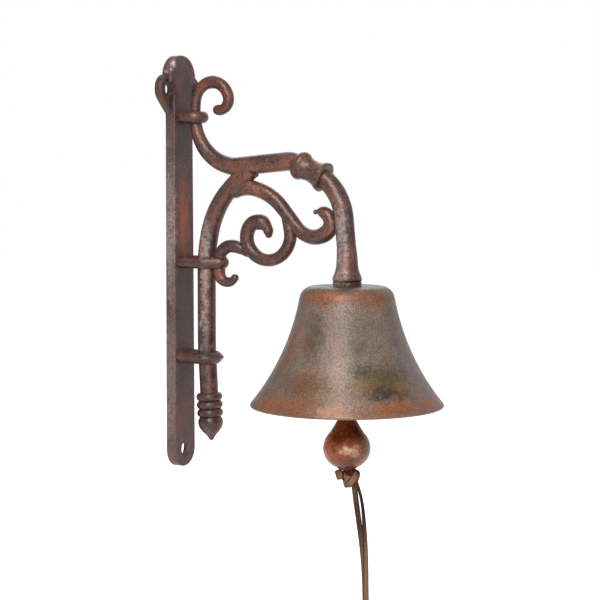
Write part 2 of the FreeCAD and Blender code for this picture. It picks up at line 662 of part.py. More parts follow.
def clapper_ball():
    """The pear-shaped ball, bored for the rod."""
    radius = BALL_DIAMETER / 2

    def at(share, rise):
        return vec(BELL_X + radius * share, 0, BALL_Z + rise)

    bore = ROD_DIAMETER / BALL_DIAMETER
    neck = BALL_NECK_DIAMETER / BALL_DIAMETER
    bore_top = at(bore, BALL_NECK_RISE)
    neck_top = at(neck, BALL_NECK_RISE)
    neck_side = at(0.45, radius * 1.15)
    shoulder = at(0.76, radius * 0.66)
    cheek = at(0.95, radius * 0.34)
    widest = at(1, 0)
    belly = at(0.86, -radius * 0.42)
    chin = at(0.46, -BALL_TAIL + 1.6)
    foot = at(0.30, -BALL_TAIL)
    bore_bottom = at(bore, -BALL_TAIL)
    edges = [line(bore_top, neck_top), arc(neck_top, neck_side, shoulder),
             arc(shoulder, cheek, widest), arc(widest, belly, chin), line(chin, foot),
             line(foot, bore_bottom), line(bore_bottom, bore_top)]
    return revolve(edges, vec(BELL_X, 0, 0), ALONG_Z)


# ---- pull lace ----

def turn_of_lace(centre, radius, axis):
    return Part.makeTorus(radius, LACE_DIAMETER / 2, centre, axis)


def cord_hitch(rod):
    """The hitch that ties the doubled lace to the rod's lower eye: turns of lace drawn tight."""
    middle = vec(BELL_X + HITCH_SHIFT, 0, BALL_BOTTOM_Z - HITCH_DROP)
    knot = Part.makeSphere(HITCH_CORE, middle)
    turns = [turn_of_lace(middle + ALONG_Z * 1.2, HITCH_TURN, vec(0.35, 0.1, 1)),
             turn_of_lace(middle - ALONG_Z * 0.8, HITCH_TURN, vec(-0.3, 0.1, 1))]
    return knot.multiFuse(turns).cut(rod)


def end_knot():
    """The overhand knot that closes both strands' ends."""
    left = vec(*STRAND_LEFT[-1])
    right = vec(*STRAND_RIGHT[-1])
    middle = (left + right) * 0.5 - ALONG_Z * 2
    core = Part.makeSphere(END_KNOT_RADIUS * 0.8, middle)
    turn = END_KNOT_RADIUS - LACE_DIAMETER / 2
    return core.multiFuse([turn_of_lace(middle + ALONG_Z * 0.8, turn, vec(0.3, 0.2, 1)),
                           turn_of_lace(middle - ALONG_Z, turn, vec(-0.7, 0.4, 1))])


def strand(name, points):
    """A strand of the lace: a tube of straight runs joined by tangent arcs."""
    corners = [vec(*point) for point in points]
    edges = []
    radii = []
    last = corners[0]
    for before, corner, after in zip(corners, corners[1:], corners[2:]):
        back = before - corner
        ahead = after - corner
        trim = 0.45 * min(back.Length, ahead.Length)
        back.normalize()
        ahead.normalize()
        half = back.getAngle(ahead) / 2
        radius = trim * math.tan(half)
        inward = (back + ahead).normalize()
        centre = corner + inward * (trim / math.cos(half))
        start = corner + back * trim
        end = corner + ahead * trim
        edges += [line(last, start), arc(start, centre - inward * radius, end)]
        radii.append(radius)
        last = end
    edges.append(line(last, corners[-1]))
    route = Part.Wire(edges)
    section = Part.Wire(Part.Circle(corners[0], corners[1] - corners[0],
                                    LACE_DIAMETER / 2).toShape())
    tube = route.makePipeShell([section], True, False)
    plain = math.pi * (LACE_DIAMETER / 2) ** 2 * route.Length
    print(name, "length", round(route.Length, 1), "least radius", round(min(radii), 1),
          "volume against section x length", round(tube.Volume / plain, 4))
    return tube


# ---- the pieces ----

def pieces():
    bracket = scroll_bracket()
    rod = clapper_rod()
    upper_z, upper_half = collar_rivets()[0]
    middle_z, middle_half = collar_rivets()[1]
    lower_z, lower_half = collar_rivets()[2]
    link_half = LINK_DIAMETER / 2 + COLLAR_END_WALL - MIDDLE_COLLAR_THICKNESS / 2
    upper = collar(upper_z, NECK_X, upper_half, UPPER_COLLAR_THICKNESS)
    middle = collar(middle_z, STEM_X, middle_half, MIDDLE_COLLAR_THICKNESS,
                    link_half=link_half)
    lower = collar(lower_z, STEM_X, lower_half, LOWER_COLLAR_THICKNESS,
                   point=LOWER_COLLAR_POINT)
    return {
        "wall_plate": wall_plate(),
        "scroll_bracket": bracket,
        "collar_upper": upper.cut(bracket),
        "collar_middle": middle.cut(bracket),
        "collar_lower": lower.cut(bracket),
        "foot_washer": washer(FOOT_WASHER_DIAMETER, FOOT_WASHER_THICKNESS, FOOT_Z),
        "bell": bell(),
        "inner_washer": washer(WASHER_DIAMETER, WASHER_THICKNESS, INNER_CROWN_Z),
        "clamp_nut": clamp_nut(),
        "eye_bolt": eye_bolt(),
        "clapper_rod": rod,
        "clapper_ball": clapper_ball(),
        "cord_hitch": cord_hitch(rod),
        "cord_strand_left": strand("cord_strand_left", STRAND_LEFT),
        "cord_strand_right": strand("cord_strand_right", STRAND_RIGHT),
        "cord_end_knot": end_knot(),
    }


os.makedirs("parts", exist_ok=True)
for piece_name, piece in pieces().items():
    print(piece_name, "valid" if piece.isValid() else "NOT VALID", len(piece.Solids), "solid",
          round(piece.Volume, 1))
    save(piece_name, piece)
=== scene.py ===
# %% [markdown]
# # A wall mounted bell of cast iron
# The object is a small garden bell.  A long wall plate carries a bracket of cast scrollwork,
# the bell hangs bolted under the end of the bracket's arm, and a clapper with a round ball hangs
# inside it on a loop.  A leather lace is knotted to the clapper, and a pull on it rings the bell.
#
# All the iron pieces already exist as solids, drawn in CAD with real sizes.  This lesson keeps
# those shapes, makes the leather lace and its knots, and gives every surface the finish that it
# has after some years out of doors.

import json
import math

import bpy
from mathutils import Matrix, Vector

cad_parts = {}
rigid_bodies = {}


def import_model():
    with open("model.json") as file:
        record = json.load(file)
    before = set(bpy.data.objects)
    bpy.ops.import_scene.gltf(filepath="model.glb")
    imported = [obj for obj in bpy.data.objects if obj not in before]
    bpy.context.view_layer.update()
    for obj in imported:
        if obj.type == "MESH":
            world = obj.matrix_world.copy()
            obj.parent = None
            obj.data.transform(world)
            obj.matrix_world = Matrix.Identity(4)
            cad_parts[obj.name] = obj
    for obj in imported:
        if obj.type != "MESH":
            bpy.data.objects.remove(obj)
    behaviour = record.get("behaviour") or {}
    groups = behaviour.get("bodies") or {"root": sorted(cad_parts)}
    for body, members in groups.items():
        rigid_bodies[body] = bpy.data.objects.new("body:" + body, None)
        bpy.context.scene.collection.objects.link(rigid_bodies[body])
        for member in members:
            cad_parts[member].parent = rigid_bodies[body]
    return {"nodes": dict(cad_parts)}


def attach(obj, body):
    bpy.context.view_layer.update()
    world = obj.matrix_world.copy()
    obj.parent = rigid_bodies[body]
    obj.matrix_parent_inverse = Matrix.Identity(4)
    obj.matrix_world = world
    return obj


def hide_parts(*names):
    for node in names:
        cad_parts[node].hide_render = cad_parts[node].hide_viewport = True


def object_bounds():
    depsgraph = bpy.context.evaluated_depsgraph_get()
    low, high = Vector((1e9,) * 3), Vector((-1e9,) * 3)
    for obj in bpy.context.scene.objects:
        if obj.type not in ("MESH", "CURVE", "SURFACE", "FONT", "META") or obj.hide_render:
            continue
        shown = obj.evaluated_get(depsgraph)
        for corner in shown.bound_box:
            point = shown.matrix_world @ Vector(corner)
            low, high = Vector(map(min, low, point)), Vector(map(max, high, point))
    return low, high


MM = 0.001

# A new file holds a cube, a lamp and a camera that aren't needed here.
for leftover in list(bpy.data.objects):
    bpy.data.objects.remove(leftover)
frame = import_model()
cad_low, cad_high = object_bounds()
print("solids:", len(frame["nodes"]), "height in mm:", round((cad_high.z - cad_low.z) / MM))

# %% [markdown]
# ## The camera
# The camera comes first, because it decides what has to look right.  It stands half to the side
# of the bell and a little above its middle, and a long lens keeps the plate's edges almost
# parallel.  It could be aimed by a constraint, but two angles say the same and are easy to
# change: its heading is the turn about the vertical, counted from the +Y axis, and its dip is the
# angle by which it looks down.

# %% Place the camera
CAMERA_PLACE = (0.62365, -0.91820, -0.05108)
CAMERA_HEADING = math.radians(30)
CAMERA_DIP = math.radians(4.4)
CAMERA_LENS = 102             # millimetres, as is the sensor's width
SENSOR_WIDTH = 36

bpy.ops.object.select_all(action="DESELECT")
bpy.ops.object.camera_add(location=CAMERA_PLACE,
                          rotation=(math.radians(90) - CAMERA_DIP, 0, CAMERA_HEADING))
camera = bpy.context.object
camera.name = "studio_camera"
camera.data.sensor_width = SENSOR_WIDTH
camera.data.lens = CAMERA_LENS
bpy.context.scene.camera = camera
print("camera:", camera.name, "lens in mm:", camera.data.lens)

# %% [markdown]
# ## Helpers for the lace
# Suede lace is a flat strip, cut from a hide and softened at its edges.  It could be cut from a
# plane and bent, but a strip swept along a smooth curve keeps its width wherever it goes: the
# curve is the way the lace hangs, and a small closed outline across it gives the width and the
# thickness.  Blender calls that outline a bevel object.  The curve is then made a mesh, and its
# outline is thrown away.

# %% The outline across the lace
LACE_WIDTH = 3.5 * MM
LACE_THICKNESS = 2.0 * MM
OUTLINE_STEPS = 3             # mesh points for each control point of the outline


def lace_outline(width):
    """A closed curve, fuller than an oval: the section of a strip with worn edges."""
    bpy.ops.object.select_all(action="DESELECT")
    bpy.ops.curve.primitive_nurbs_circle_add(radius=1)
    outline = bpy.context.object
    outline.data.dimensions = "2D"
    outline.data.splines[0].resolution_u = OUTLINE_STEPS
    for point in outline.data.splines[0].points:
        point.co.x *= width / 2
        point.co.y *= LACE_THICKNESS / 2
        point.co.w = 1
    return outline


print("lace in mm:", LACE_WIDTH / MM, "by", LACE_THICKNESS / MM)

# %% A smooth line through a few places
def smooth_line(name, places, closed=False, order=3, steps=8):
    """An unthickened NURBS curve whose control points are the given places, in metres."""
    line = bpy.data.curves.new(name, "CURVE")
    line.dimensions = "3D"
    spline = line.splines.new("NURBS")
    spline.points.add(len(places) - 1)
    for point, place in zip(spline.points, places):
        point.co = (*place, 1)
    spline.use_cyclic_u = closed
    spline.order_u = order
    spline.use_endpoint_u = not closed
    spline.resolution_u = steps
    made = bpy.data.objects.new(name, line)
    bpy.context.collection.objects.link(made)
    return made


def points_along(line):
    """The places that an unthickened curve passes through."""
    mesh = bpy.data.meshes.new_from_object(line)
    places = [tuple(vertex.co) for vertex in mesh.vertices]
    bpy.data.meshes.remove(mesh)
    return places


print("helpers ready: smooth_line, points_along")

# %% Thicken a line into lace
def thicken(line, turns, width=LACE_WIDTH):
    """Sweeps the lace's section along the line and makes a mesh of it.  turns gives the strip's
    twist at each control point, in degrees."""
    for point, turn in zip(line.data.splines[0].points, turns):
        point.tilt = math.radians(turn)
    outline = lace_outline(width)
    line.data.bevel_mode = "OBJECT"
    line.data.bevel_object = outline
    line.data.use_fill_caps = not line.data.splines[0].use_cyclic_u
    bpy.ops.object.select_all(action="DESELECT")
    line.select_set(True)
    bpy.context.view_layer.objects.active = line
    bpy.ops.object.convert(target="MESH")
    strip = bpy.context.object
    bpy.data.objects.remove(outline)
    bpy.ops.object.shade_smooth()
    return strip


print("helper ready: thicken")

# %% [markdown]
# ## The two hanging strands
# The lace is doubled, so two strands hang from the knot.  A simulated chain would hang straighter
# than used leather does, so each strand follows a few listed places: out of the knot, a soft
# curve to the side, then down under its own weight.  The strips twist a little as they hang, so
# one shows its flat face where the other shows its edge.

# %% Hang the strands
LEFT_ROUTE = [(0.1316, 0.0010, -0.2450), (0.1323, 0.0015, -0.2535), (0.1349, 0.0016, -0.2695),
              (0.1379, 0.0015, -0.2890), (0.1393, 0.0017, -0.3130), (0.1394, 0.0015, -0.3410),
              (0.1400, 0.0016, -0.3660)]
RIGHT_ROUTE = [(0.1332, -0.0011, -0.2410), (0.1379, -0.0015, -0.2505),
               (0.1403, -0.0016, -0.2680), (0.1413, -0.0015, -0.2900),
               (0.1416, -0.0017, -0.3140), (0.1424, -0.0015, -0.3410),
               (0.1424, -0.0016, -0.3660)]
LEFT_TWIST = (95, 95, 100, 115, 125, 115, 100)         # degrees, at each place of the route
RIGHT_TWIST = (-35, -35, -10, 30, 50, 55, 45)

left_line = smooth_line("lace_strand_left", LEFT_ROUTE)
left_path = points_along(left_line)
left_strand = thicken(left_line, LEFT_TWIST)
right_line = smooth_line("lace_strand_right", RIGHT_ROUTE)
right_path = points_along(right_line)
right_strand = thicken(right_line, RIGHT_TWIST)
for strand in (left_strand, right_strand):
    print(strand.name, "faces:", len(strand.data.polygons),
          "maps:", [layer.name for layer in strand.data.uv_layers])

# %% [markdown]
# ## The knots
# The doubled lace is tied to the clapper's lower eye, and its two ends are tied together at the
# bottom, so that the knot gives the fingers something to hold.  The path of a real knot is long
# to write down and most of it is never seen, so these knots are made as they look: a tight ball
# of turns that cross each other at different slants.  Each turn is a closed curve with the
# lace's section swept along it, slightly uneven, and the turns lie on a solid heart that closes
# the gaps between them.  A short bight, the end of the loop, sticks out at the hitch's side.

# %% One turn of lace in a knot
FLAT_OUTWARDS = 90            # the strip's twist, in degrees, that turns its flat face outwards


def lace_turn(name, middle, radius, axis, unevenness, width=LACE_WIDTH):
    """A closed turn of lace round an axis.  unevenness gives its radius at each control point,
    as a share of the radius asked for."""
    places = []
    for index, share in enumerate(unevenness):
        angle = 2 * math.pi * index / len(unevenness)
        places.append((radius * share * math.cos(angle), radius * share * math.sin(angle), 0))
    line = smooth_line(name, places, closed=True, order=4, steps=5)
    turn = thicken(line, [FLAT_OUTWARDS] * len(places), width)
    lean = Vector((0, 0, 1)).rotation_difference(Vector(axis))
    turn.data.transform(Matrix.Translation(middle) @ lean.to_matrix().to_4x4())
    return turn


print("helper ready: lace_turn")

# %% The heart of a knot, and joining its parts
def knot_heart(middle, radius, height):
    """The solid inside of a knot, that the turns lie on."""
    bpy.ops.object.select_all(action="DESELECT")
    bpy.ops.mesh.primitive_uv_sphere_add(segments=24, ring_count=12, radius=radius)
    heart = bpy.context.object
    for vertex in heart.data.vertices:
        vertex.co.z *= height / (2 * radius)
        vertex.co += middle
    bpy.ops.object.shade_smooth()
    return heart


def join_into(name, parts):
    """Joins finished meshes into one piece."""
    bpy.ops.object.select_all(action="DESELECT")
    for part in parts:
        part.select_set(True)
    bpy.context.view_layer.objects.active = parts[0]
    bpy.ops.object.join()
    joined = bpy.context.object
    joined.name = name
    joined.data.name = name
    return joined


print("helpers ready: knot_heart, join_into")

# %% Tie the hitch under the ball
HITCH_MIDDLE = Vector((0.1304, 0, -0.2421))
DRAWN_WIDTH = 4.6 * MM        # the lace is squeezed flat and wide where it is drawn tight
hitch_turns = [
    lace_turn("turn", HITCH_MIDDLE + Vector((0, 0, 2.2)) * MM, 4.6 * MM, (0.25, -0.3, 1),
              (1.0, 1.08, 0.98, 1.05, 1.0, 0.94, 1.06, 1.0), DRAWN_WIDTH),
    lace_turn("turn", HITCH_MIDDLE + Vector((-0.6, 0, -2.4)) * MM, 4.0 * MM, (-0.5, 0.1, 1),
              (1.04, 1.0, 1.06, 0.96, 1.0, 1.08, 0.98, 1.0), DRAWN_WIDTH),
    lace_turn("turn", HITCH_MIDDLE + Vector((0.4, -0.6, -0.2)) * MM, 5.0 * MM, (1, 0.7, -0.9),
              (1.0, 1.06, 1.02, 0.96, 1.04, 1.0, 0.98, 1.04), DRAWN_WIDTH),
    knot_heart(HITCH_MIDDLE, 4.6 * MM, 9.4 * MM),
    lace_turn("bight", HITCH_MIDDLE + Vector((-7.2, -2.6, 2.2)) * MM, 2.3 * MM, (0.87, 0.5, 0.3),
              (1.1, 1.0, 1.15, 1.0, 1.1, 1.0, 1.15, 1.0), DRAWN_WIDTH),
    knot_heart(HITCH_MIDDLE + Vector((-6.6, -2.2, 2.2)) * MM, 1.9 * MM, 4.4 * MM),
]
hitch = join_into("lace_hitch", hitch_turns)
print(hitch.name, "faces:", len(hitch.data.polygons))

# %% Tie the end knot
END_MIDDLE = (Vector(LEFT_ROUTE[-1]) + Vector(RIGHT_ROUTE[-1])) / 2 + Vector((0, 0, -2)) * MM
end_turns = [
    lace_turn("turn", END_MIDDLE + Vector((0, 0, 0.8)) * MM, 3.9 * MM, (0.4, 0.3, 1),
              (1.0, 1.05, 0.97, 1.04, 1.0, 0.96, 1.05, 1.0)),
    lace_turn("turn", END_MIDDLE + Vector((0, 0, -1.0)) * MM, 3.7 * MM, (-0.8, 0.5, 1),
              (1.03, 1.0, 1.05, 0.97, 1.0, 1.06, 0.98, 1.0)),
    lace_turn("turn", END_MIDDLE, 3.3 * MM, (0.9, 1, -0.2),
              (1.0, 1.05, 1.0, 0.97, 1.03, 1.0, 0.98, 1.03)),
    knot_heart(END_MIDDLE, 3.6 * MM, 7.6 * MM),
]
end_knot = join_into("lace_end_knot", end_turns)
print(end_knot.name, "faces:", len(end_knot.data.polygons))

# %% Fasten the lace to the clapper
for piece, node in ((left_strand, "cord_strand_left"), (right_strand, "cord_strand_right"),
                    (hitch, "cord_hitch"), (end_knot, "cord_end_knot")):
    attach(piece, "clapper")
    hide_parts(node)
print("lace pieces ride on the clapper")

# %% [markdown]
# ## Helpers for the finishes
# Colours are written as sRGB hex values, as a paint chart gives them, and turned to the linear
# values that the renderer works with.  A pattern's size is given in millimetres: a noise texture
# on object coordinates repeats about once per metre at scale 1, so its scale is one over the size.

# %% Colour, size and node helpers
FIRST_COLOUR, SECOND_COLOUR = 6, 7       # the Mix node's inputs when it mixes colours
MIXED_COLOUR = 2                         # and its output


def linear(hex_colour):
    """An sRGB hex colour as linear red, green, blue and alpha."""
    channels = [int(hex_colour[start:start + 2], 16) / 255 for start in (1, 3, 5)]
    return tuple(value / 12.92 if value <= 0.04045 else ((value + 0.055) / 1.055) ** 2.4
                 for value in channels) + (1,)


def per_mm(size):
    """The noise scale for features of that size in millimetres."""
    return 1 / (size * MM)


def add_node(tree, kind, sockets=None, **settings):
    """Adds a node.  A socket is given a value, or another node's output to be linked to."""
    node = tree.nodes.new("ShaderNode" + kind)
    for setting, value in settings.items():
        setattr(node, setting, value)
    for socket, value in (sockets or {}).items():
        if isinstance(value, bpy.types.NodeSocket):
            tree.links.new(value, node.inputs[socket])
        else:
            node.inputs[socket].default_value = value
    return node


print("rust brown, linear:", [round(value, 3) for value in linear("#6f4636")])

# %% Start a material
def start_material(name):
    """A material with its shader, and the coordinates of the piece it lies on."""
    material = bpy.data.materials.new(name)
    material.use_nodes = True
    tree = material.node_tree
    tree.nodes.clear()
    shader = add_node(tree, "BsdfPrincipled")
    add_node(tree, "OutputMaterial", {"Surface": shader.outputs["BSDF"]})
    place = add_node(tree, "TexCoord")
    return material, tree, shader, place


print("helper ready: start_material")

# %% [markdown]
# ## Weathered cast iron
# Iron poured into a sand mould comes out with a fine grain, the print of the sand.  Out of doors
# it turns brown: a thin dark rust with warmer patches where water stands, and a dull shine where
# hands and weather have polished it.  Rust is a dull crust and no metal, so most of the surface is
# not metallic, and its gloss is low.
#
# The rust could be painted by hand, but a recipe of noises follows the real surface round every
# bar without seams, and one recipe finishes every casting here.  Two browns are mixed by a slow
# noise, a third colour comes in blotches, and patches are laid on at chosen places with ragged
# edges.  A middle noise then mottles the colour, and a fine one, the sand's grain, sets dark pores
# in it and dents the surface.  Real grains are about half a millimetre wide.  They are drawn up to
# 1.3 mm wide here, because finer ones would not show.

# %% Lay a patch of another colour at a chosen place
SPECK_REACH = 1.6             # how far the specks eat into a patch, as a share of its size
PATCH_EDGE = 1.95             # the distance, specks and all, at which a patch has faded away
PATCH_CORE = 0.95             # and the one up to which it has its full strength


def lay_patch(tree, ragged_place, specks, under, colour, middle, size, strength):
    """Mixes a colour over another one, inside an egg-shaped space that breaks up into specks
    towards its edge.  middle and size are in millimetres."""
    stretch = add_node(tree, "Mapping", {
        "Vector": ragged_place,
        "Location": tuple(-centre / reach for centre, reach in zip(middle, size)),
        "Scale": tuple(per_mm(reach) for reach in size)})
    distance = add_node(tree, "VectorMath", {0: stretch.outputs["Vector"]}, operation="LENGTH")
    speckled = add_node(tree, "Math", {0: specks.outputs["Fac"], 1: SPECK_REACH,
                                       2: distance.outputs["Value"]}, operation="MULTIPLY_ADD")
    share = add_node(tree, "MapRange", {
        "Value": speckled.outputs[0], "From Min": PATCH_EDGE, "From Max": PATCH_CORE,
        "To Min": 0, "To Max": strength}, interpolation_type="SMOOTHSTEP")
    mixed = add_node(tree, "Mix", {"Factor": share.outputs["Result"], FIRST_COLOUR: under,
                                   SECOND_COLOUR: linear(colour)}, data_type="RGBA")
    return mixed.outputs[MIXED_COLOUR]


print("helper ready: lay_patch")

# %% Darken or lighten a colour by a noise
def shade_by(tree, colour, noise, low, high, darkest, lightest):
    """Multiplies a colour by a factor that runs from darkest to lightest while the noise runs
    from low to high."""
    factor = add_node(tree, "MapRange", {"Value": noise.outputs["Fac"], "From Min": low,
                                         "From Max": high, "To Min": darkest,
                                         "To Max": lightest})
    scaled = add_node(tree, "VectorMath", {0: colour, "Scale": factor.outputs["Result"]},
                      operation="SCALE")
    return scaled.outputs["Vector"]


print("helper ready: shade_by")

# %% The noises of a casting
IRON_NOISES = {               # the size of its features in millimetres, its detail and roughness
    "clouds": (30, 5, 0.6),
    "blotches": (16, 6, 0.65),
    "fray": (7, 6, 0.72),
    "specks": (2, 5, 0.7),
}


def iron_noises(tree, spot, grain):
    """The noises that a casting's colour and skin are made from.  grain is the width of the
    sand's grains, in millimetres."""
    noises = {}
    for name, (size, detail, roughness) in {**IRON_NOISES, "sand": (grain, 3, 0.7)}.items():
        noises[name] = add_node(tree, "TexNoise", {"Vector": spot, "Scale": per_mm(size),
                                                   "Detail": detail, "Roughness": roughness})
    return noises


print("noises of a casting:", ", ".join(IRON_NOISES), "and sand")

# %% The colour of a casting
FRAY_REACH = 18 * MM          # a patch's edge is pushed by up to half of this each way
GRAIN_TOP = 1.12              # how much lighter a grain's top is than the colour round it


def iron_colour(tree, spot, noises, browns, rust_share, patches, mottle, pores):
    """Two browns, rust in blotches, patches at chosen places, and over it all mottling and
    pores.  browns are the ground's colour, its shade's and the rust's."""
    ground, shade, rust = browns
    tone = add_node(tree, "MapRange", {"Value": noises["clouds"].outputs["Fac"],
                                       "From Min": 0.38, "From Max": 0.62})
    base = add_node(tree, "Mix", {"Factor": tone.outputs["Result"], FIRST_COLOUR: linear(shade),
                                  SECOND_COLOUR: linear(ground)}, data_type="RGBA")
    rusty = add_node(tree, "MapRange", {"Value": noises["blotches"].outputs["Fac"],
                                        "From Min": 0.5, "From Max": 0.66,
                                        "To Max": rust_share})
    rusted = add_node(tree, "Mix", {"Factor": rusty.outputs["Result"],
                                    FIRST_COLOUR: base.outputs[MIXED_COLOUR],
                                    SECOND_COLOUR: linear(rust)}, data_type="RGBA")
    # Places are pushed about by a few millimetres, so that patches get ragged edges.
    push = add_node(tree, "VectorMath", {0: noises["fray"].outputs["Color"], 1: (0.5, 0.5, 0.5)},
                    operation="SUBTRACT")
    ragged = add_node(tree, "VectorMath", {0: push.outputs["Vector"], 1: (FRAY_REACH,) * 3,
                                           2: spot}, operation="MULTIPLY_ADD")
    colour = rusted.outputs[MIXED_COLOUR]
    for patch_colour, middle, size, strength in patches:
        colour = lay_patch(tree, ragged.outputs["Vector"], noises["specks"], colour,
                           patch_colour, middle, size, strength)
    colour = shade_by(tree, colour, noises["fray"], 0.35, 0.65, 1 - mottle, 1 + mottle)
    return shade_by(tree, colour, noises["sand"], 0.38, 0.56, pores, GRAIN_TOP)


print("helper ready: iron_colour")

# %% The recipe for a casting
RUST_IOR = 1.35               # a crust full of air mirrors less than a solid surface would
DENT_DEPTH = 0.6 * MM


def cast_iron(name, browns, rust_share, metallic, roughness, patches=(), grain=1.2,
              grain_depth=0.10, pores=0.6, mottle=0.16):
    """Weathered cast iron.  roughness is given for the most polished and the dullest places.
    grain and grain_depth are in millimetres, pores is how dark the hollows between the grains
    are, from 0, black, to 1, not at all, and mottle is how much the colour varies."""
    material, tree, shader, place = start_material(name)
    spot = place.outputs["Object"]
    noises = iron_noises(tree, spot, grain)
    colour = iron_colour(tree, spot, noises, browns, rust_share, patches, mottle, pores)
    tree.links.new(colour, shader.inputs["Base Color"])
    gloss = add_node(tree, "MapRange", {"Value": noises["fray"].outputs["Fac"], "From Min": 0.3,
                                        "From Max": 0.7, "To Min": roughness[0],
                                        "To Max": roughness[1]})
    tree.links.new(gloss.outputs["Result"], shader.inputs["Roughness"])
    shader.inputs["Metallic"].default_value = metallic
    shader.inputs["IOR"].default_value = RUST_IOR
    dents = add_node(tree, "Bump", {"Height": noises["fray"].outputs["Fac"],
                                    "Distance": DENT_DEPTH, "Strength": 0.6})
    skin = add_node(tree, "Bump", {"Height": noises["sand"].outputs["Fac"],
                                   "Distance": grain_depth * MM, "Strength": 0.9,
                                   "Normal": dents.outputs["Normal"]})
    tree.links.new(skin.outputs["Normal"], shader.inputs["Normal"])
    return material


print("recipe ready: cast_iron")

# %% [markdown]
# ## The wall plate and the bracket
# Both are castings of the same brown iron.  The plate is dull; painted shade darkens its ears,
# and a painted highlight lies on the edge at its head.  The bracket's round bars are rubbed by
# hands and weather, so they have more gloss, and painted highlights run down the fronts of its
# stem and its drop arm.  The recipe with other numbers gives both, and a few patches put each mark
# where it is.  A patch is its colour, its middle and its reach along X, Y and Z in millimetres,
# and its strength from 0 to 1.

# %% Finish the wall plate
plate_patches = [
    ("#8f4a31", (7, -1, -84), (16, 8, 36), 0.7),
    ("#8c7d76", (3, -12, -90), (7, 5, 60), 0.5),
    ("#8c8380", (3, -12, -190), (7, 5, 60), 0.2),
    # painted shade: the ear and its rim are darkened
    ("#241a19", (3, -16, 0), (12, 13, 18), 1.0),
    # painted highlight: a pale patch on the lit edge at the plate's head
    ("#b7a69b", (7, -12, 17), (5, 4, 6), 0.9),
    ("#85452c", (3, -20, -7), (6, 6, 9), 0.3),
]
plate_iron = cast_iron("weathered_cast_iron_plate", ("#4f3b3a", "#3d2f2e", "#6a4034"),
                       rust_share=0.6, metallic=0.05, roughness=(0.4, 0.6),
                       patches=plate_patches)
print("made", plate_iron.name, "with", len(plate_patches), "patches")

# %% Finish the bracket
bracket_patches = [
    # painted highlight down the front of the stem
    ("#9c8880", (25.8, -6, -110), (4, 4, 75), 0.55),
    # painted highlights on the front of the drop arm and of its foot
    ("#927f79", (125, -8, -92), (8, 7, 30), 0.7),
    ("#927f79", (124, -9, -114), (8, 6, 14), 0.5),
    ("#8f5a44", (78, -5, -58), (22, 7, 16), 0.6),
    ("#38211b", (70, -5, -97), (24, 8, 13), 0.8),
    ("#4c2316", (34, -4, -4), (18, 9, 14), 0.9),
]
bracket_iron = cast_iron("weathered_cast_iron_bracket", ("#55382f", "#352523", "#6f3f2c"),
                         rust_share=0.6, metallic=0.15, roughness=(0.22, 0.38),
                         patches=bracket_patches, grain=1.3, grain_depth=0.16, pores=0.5,
                         mottle=0.25)
print("made", bracket_iron.name, "with", len(bracket_patches), "patches")

# %% [markdown]
# ## The bell's own patches
# The bell's skin is lighter and sandier than the bracket's.  Water has run down it and dripped
# from its lip, so orange rust sits round the shoulder and along the lip, with dark green-brown
# patches between them.  Each patch is placed by its angle round the bell and its height, because
# that is how one would point at it on the real bell.

# %% A place on the bell
BELL_AXIS_X = 127             # millimetres from the wall
FRONT_SIDE = -60              # degrees from straight out of the wall to the side facing the camera


def on_bell(angle, radius, z):
    """The place at that radius and height, in millimetres.  The angle runs anticlockwise round
    the bell, seen from above, in degrees from its front side."""
    turn = math.radians(angle + FRONT_SIDE)
    return (BELL_AXIS_X + radius * math.cos(turn), radius * math.sin(turn), z)


print("front of the lip, mm:", [round(value) for value in on_bell(0, 60, -196)])

# %% Finish the bell
ORANGE = "#7a482b"
OLIVE = "#3b3020"
bell_patches = [
    ("#6b4029", (BELL_AXIS_X, 0, -128), (75, 75, 5), 0.6),
    ("#6d452c", (BELL_AXIS_X, 0, -194), (110, 110, 7), 0.6),
    # painted shade: the crown's top is darkened
    ("#1f1a16", (BELL_AXIS_X, 0, -122), (36, 36, 5), 1.0),
    ("#4e4239", on_bell(2, 33, -150), (18, 18, 34), 0.75),
    (ORANGE, on_bell(-32, 30, -128), (15, 15, 6), 1.0),
    ("#5f402c", on_bell(2, 30, -128), (15, 15, 5), 0.7),
    ("#6a4633", on_bell(28, 30, -128), (18, 18, 6), 0.9),
    ("#6b4029", on_bell(-66, 38, -162), (10, 10, 30), 0.9),
    (OLIVE, on_bell(-36, 36, -150), (9, 9, 34), 0.65),
    ("#5a3c22", on_bell(-32, 48, -180), (24, 24, 13), 0.8),
    ("#3b331e", on_bell(26, 46, -177), (28, 28, 16), 0.9),
    ("#24221c", on_bell(26, 49, -184), (16, 16, 5), 0.9),
    ("#2b2a22", on_bell(10, 44, -172), (9, 9, 6), 0.8),
    ("#6e5026", on_bell(14, 46, -178), (10, 10, 7), 0.5),
    ("#744a29", on_bell(38, 48, -180), (10, 10, 7), 0.5),
    (ORANGE, on_bell(-52, 56, -192), (24, 24, 8), 0.9),
    ("#6d452c", on_bell(-30, 57, -192), (18, 18, 8), 0.8),
    ("#8a6552", on_bell(-10, 57, -193), (16, 16, 6), 0.8),
    (ORANGE, on_bell(28, 57, -192), (20, 20, 7), 1.0),
    ("#7c4b30", on_bell(56, 57, -192), (16, 16, 7), 0.8),
    ("#5f5353", on_bell(58, 44, -165), (14, 14, 26), 0.6),
    (OLIVE, on_bell(120, 40, -160), (14, 14, 24), 0.7),
    (ORANGE, on_bell(155, 57, -190), (24, 24, 9), 0.9),
    ("#49321c", on_bell(205, 46, -176), (20, 20, 15), 0.8),
    (ORANGE, on_bell(235, 30, -129), (14, 14, 6), 0.9),
    ("#6d6a68", (BELL_AXIS_X, 0, -198), (110, 110, 1.6), 0.9),
]
bell_iron = cast_iron("sand_cast_iron_bell", ("#6c5d52", "#5c4f46", "#6f4e3c"), rust_share=0.6,
                      metallic=0.3, roughness=(0.35, 0.5), patches=bell_patches, grain=0.75,
                      grain_depth=0.12, pores=0.5)
print("made", bell_iron.name, "with", len(bell_patches), "patches")
